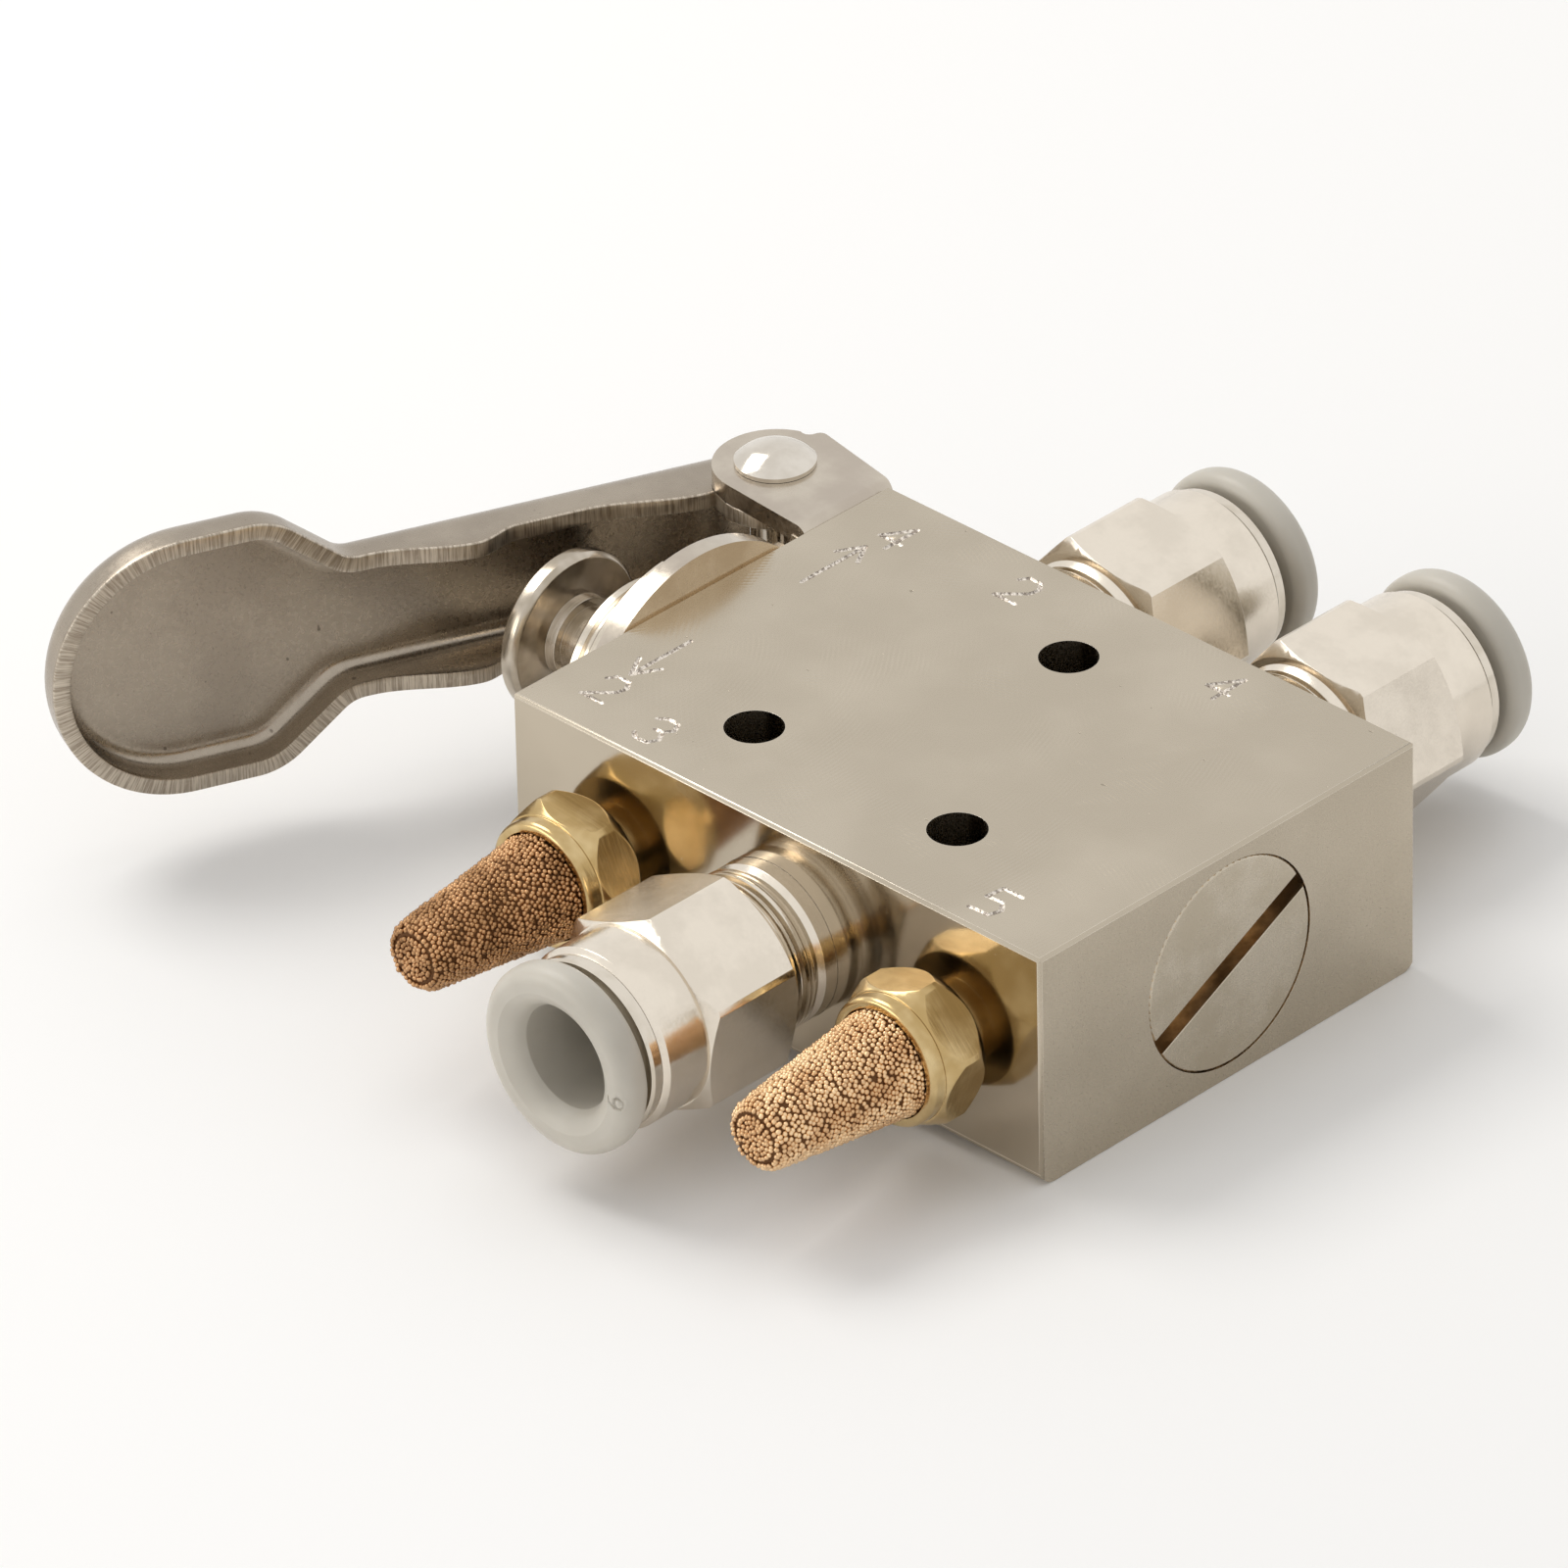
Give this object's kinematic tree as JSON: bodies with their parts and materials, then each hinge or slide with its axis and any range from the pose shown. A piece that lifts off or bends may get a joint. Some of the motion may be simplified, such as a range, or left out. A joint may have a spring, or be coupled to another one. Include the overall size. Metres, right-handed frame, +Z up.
{
  "type": "mechanical switching valve",
  "caption": "Hand lever spool valve: a flat block with push-in tube fittings, sintered exhaust silencers and a side lever that presses a spring-returned button.",
  "frame": {"origin": "centre of the block's flat bottom face, on the surface it is bolted to", "axes": "+X along the spool bore away from the lever, +Y towards the two outlet fittings, +Z up out of the mounting surface"},
  "size_m": [0.0674, 0.064, 0.019],
  "materials": {
    "body_nickel": "satin nickel plate, faint turning marks",
    "plug_steel": "satin nickel plate",
    "spring_steel": "bright drawn wire and strip",
    "spool_alloy": "turned",
    "button_steel": "turned and plated",
    "bush_nickel": "bright nickel plate",
    "bracket_steel": "tumbled nickel plate",
    "lever_steel": "tumbled nickel plate",
    "rivet_steel": "polished",
    "fitting_nickel": "nickel plate on turned brass",
    "retainer_nickel": "nickel plate on turned brass",
    "ring_plastic": "satin moulded",
    "brass": "bare, turned",
    "sintered_bronze": "bare, granular",
    "rubber": "moulded"
  },
  "bodies": {
    "block": {"valve_body": "body_nickel", "end_plug": "plug_steel", "plug_seal": "rubber", "gland_bush": "bush_nickel", "stem_seal": "rubber", "gland_seal": "rubber", "lever_bracket": "bracket_steel", "pivot_rivet": "rivet_steel", "fitting_p": "fitting_nickel", "retainer_p": "retainer_nickel", "grip_ring_p": "spring_steel", "tube_seal_p": "rubber", "fitting_a": "fitting_nickel", "retainer_a": "retainer_nickel", "grip_ring_a": "spring_steel", "tube_seal_a": "rubber", "fitting_b": "fitting_nickel", "retainer_b": "retainer_nickel", "grip_ring_b": "spring_steel", "tube_seal_b": "rubber", "silencer_base_r1": "brass", "silencer_cone_r1": "sintered_bronze", "silencer_base_r2": "brass", "silencer_cone_r2": "sintered_bronze"},
    "slider": {"plunger_button": "button_steel", "spool": "spool_alloy", "spool_seals": "rubber", "return_spring": "spring_steel"},
    "hand_lever": {"lever": "lever_steel"},
    "ring_p": {"release_ring_p": "ring_plastic"},
    "ring_a": {"release_ring_a": "ring_plastic"},
    "ring_b": {"release_ring_b": "ring_plastic"}
  },
  "joints": [
    {"name": "lever_pivot", "type": "hinge", "parent": "block", "child": "hand_lever", "pos_m": [-0.0264, 0.0124, 0.00865], "axis": [0, 0, 1], "range_deg": [0, 16], "stiffness_Nm_per_rad": 0.136, "springref_deg": -12.03},
    {"name": "button_slide", "type": "slide", "parent": "block", "child": "slider", "axis": [1, 0, 0], "range_m": [0, 0.00267], "deforming": ["return_spring"]},
    {"name": "release_p", "type": "slide", "parent": "block", "child": "ring_p", "axis": [0, 1, 0], "range_m": [0, 0.0005], "stiffness_N_per_m": 1000, "springref_m": -0.0005},
    {"name": "release_a", "type": "slide", "parent": "block", "child": "ring_a", "axis": [0, -1, 0], "range_m": [0, 0.0005], "stiffness_N_per_m": 1000, "springref_m": -0.0005},
    {"name": "release_b", "type": "slide", "parent": "block", "child": "ring_b", "axis": [0, -1, 0], "range_m": [0, 0.0005], "stiffness_N_per_m": 1000, "springref_m": -0.0005}
  ],
  "couplings": [
    {"joint": "button_slide", "follows": "lever_pivot", "m_per_rad": 0.0095254}
  ]
}
